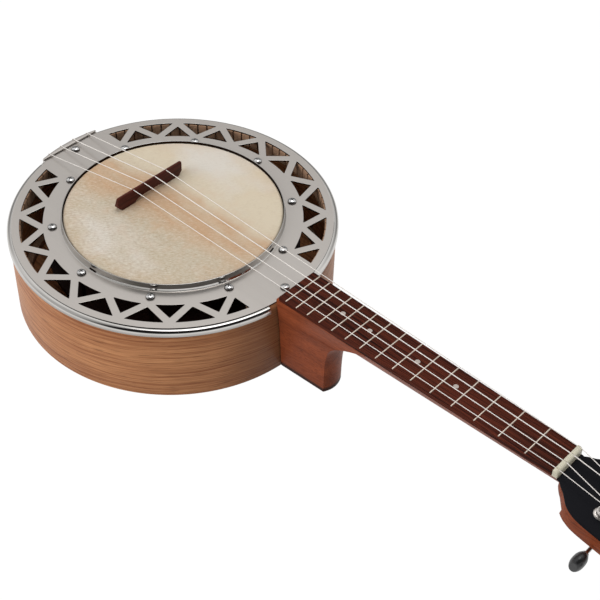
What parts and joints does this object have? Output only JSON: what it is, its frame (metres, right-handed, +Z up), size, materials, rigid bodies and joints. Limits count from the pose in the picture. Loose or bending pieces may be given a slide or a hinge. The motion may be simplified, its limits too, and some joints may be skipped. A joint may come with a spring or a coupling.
{
  "type": "banjo ukulele",
  "caption": "Banjo ukulele: round wooden pot with a pierced nickel cover plate, stretched skin, floating bridge, bolted-on fretted neck and geared side tuners.",
  "frame": {"origin": "centre of the pot's back, on the plane that the instrument lies on", "axes": "+Z up through the skin, +Y along the neck towards the headstock, +X towards the side that the picture shows nearer"},
  "size_m": [0.2816, 0.6837, 0.0936],
  "materials": {
    "side_wood": "satin",
    "inner_wood": "raw",
    "neck_wood": "satin",
    "dark_wood": "oiled",
    "black_veneer": "satin black stain",
    "satin_nickel": "satin nickel plate",
    "fret_wire": "polished",
    "polished_steel": "polished",
    "cast_ring": "dark coated",
    "skin": "stretched skin",
    "bone": "bone",
    "plain_string": "plain",
    "knob_black": "glossy"
  },
  "bodies": {
    "instrument": {"side_shell": "side_wood", "back_board": "side_wood", "top_lining_near": "inner_wood", "top_lining_far": "inner_wood", "back_lining": "inner_wood", "neck_block": "inner_wood", "tail_block": "inner_wood", "neck": "neck_wood", "fretboard": "dark_wood", "bridge": "dark_wood", "headstock_face": "black_veneer", "cover_plate": "satin_nickel", "tailpiece": "satin_nickel", "tuner_plate_near": "satin_nickel", "tuner_plate_far": "satin_nickel", "fret_1": "fret_wire", "fret_2": "fret_wire", "fret_3": "fret_wire", "fret_4": "fret_wire", "fret_5": "fret_wire", "fret_6": "fret_wire", "fret_7": "fret_wire", "fret_8": "fret_wire", "fret_9": "fret_wire", "fret_10": "fret_wire", "fret_11": "fret_wire", "fret_12": "fret_wire", "fret_13": "fret_wire", "fret_14": "fret_wire", "fret_15": "fret_wire", "flesh_hoop": "polished_steel", "neck_bolt": "polished_steel", "tail_button": "polished_steel", "plate_screw_neck": "polished_steel", "plate_screw_tail": "polished_steel", "tension_screw_1": "polished_steel", "tension_screw_2": "polished_steel", "tension_screw_3": "polished_steel", "tension_screw_4": "polished_steel", "tension_screw_5": "polished_steel", "tension_screw_6": "polished_steel", "tension_screw_7": "polished_steel", "tension_screw_8": "polished_steel", "tension_screw_9": "polished_steel", "tension_screw_10": "polished_steel", "tone_ring": "cast_ring", "head_skin": "skin", "nut": "bone", "string_1": "plain_string", "string_2": "plain_string", "string_3": "plain_string", "string_4": "plain_string"},
    "knob_1": {"tuner_knob_1": "knob_black"},
    "post_1": {"tuner_post_1": "polished_steel"},
    "knob_2": {"tuner_knob_2": "knob_black"},
    "post_2": {"tuner_post_2": "polished_steel"},
    "knob_3": {"tuner_knob_3": "knob_black"},
    "post_3": {"tuner_post_3": "polished_steel"},
    "knob_4": {"tuner_knob_4": "knob_black"},
    "post_4": {"tuner_post_4": "polished_steel"}
  },
  "joints": [
    {"name": "knob_turn_1", "type": "hinge", "parent": "instrument", "child": "knob_1", "pos_m": [0.0145, 0.44511, 0.05533], "axis": [1, 0, 0], "continuous": true},
    {"name": "post_turn_1", "type": "hinge", "parent": "instrument", "child": "post_1", "pos_m": [0.0145, 0.43967, 0.07591], "axis": [0, 0.2079, 0.9781], "continuous": true},
    {"name": "knob_turn_2", "type": "hinge", "parent": "instrument", "child": "knob_2", "pos_m": [0.0145, 0.48424, 0.04702], "axis": [1, 0, 0], "continuous": true},
    {"name": "post_turn_2", "type": "hinge", "parent": "instrument", "child": "post_2", "pos_m": [0.0145, 0.4788, 0.0676], "axis": [0, 0.2079, 0.9781], "continuous": true},
    {"name": "knob_turn_3", "type": "hinge", "parent": "instrument", "child": "knob_3", "pos_m": [-0.0145, 0.48424, 0.04702], "axis": [1, 0, 0], "continuous": true},
    {"name": "post_turn_3", "type": "hinge", "parent": "instrument", "child": "post_3", "pos_m": [-0.0145, 0.4788, 0.0676], "axis": [0, 0.2079, 0.9781], "continuous": true},
    {"name": "knob_turn_4", "type": "hinge", "parent": "instrument", "child": "knob_4", "pos_m": [-0.0145, 0.44511, 0.05533], "axis": [1, 0, 0], "continuous": true},
    {"name": "post_turn_4", "type": "hinge", "parent": "instrument", "child": "post_4", "pos_m": [-0.0145, 0.43967, 0.07591], "axis": [0, 0.2079, 0.9781], "continuous": true}
  ],
  "couplings": [
    {"joint": "post_turn_1", "follows": "knob_turn_1", "ratio": 0.083333},
    {"joint": "post_turn_2", "follows": "knob_turn_2", "ratio": 0.083333},
    {"joint": "post_turn_3", "follows": "knob_turn_3", "ratio": -0.083333},
    {"joint": "post_turn_4", "follows": "knob_turn_4", "ratio": -0.083333}
  ]
}
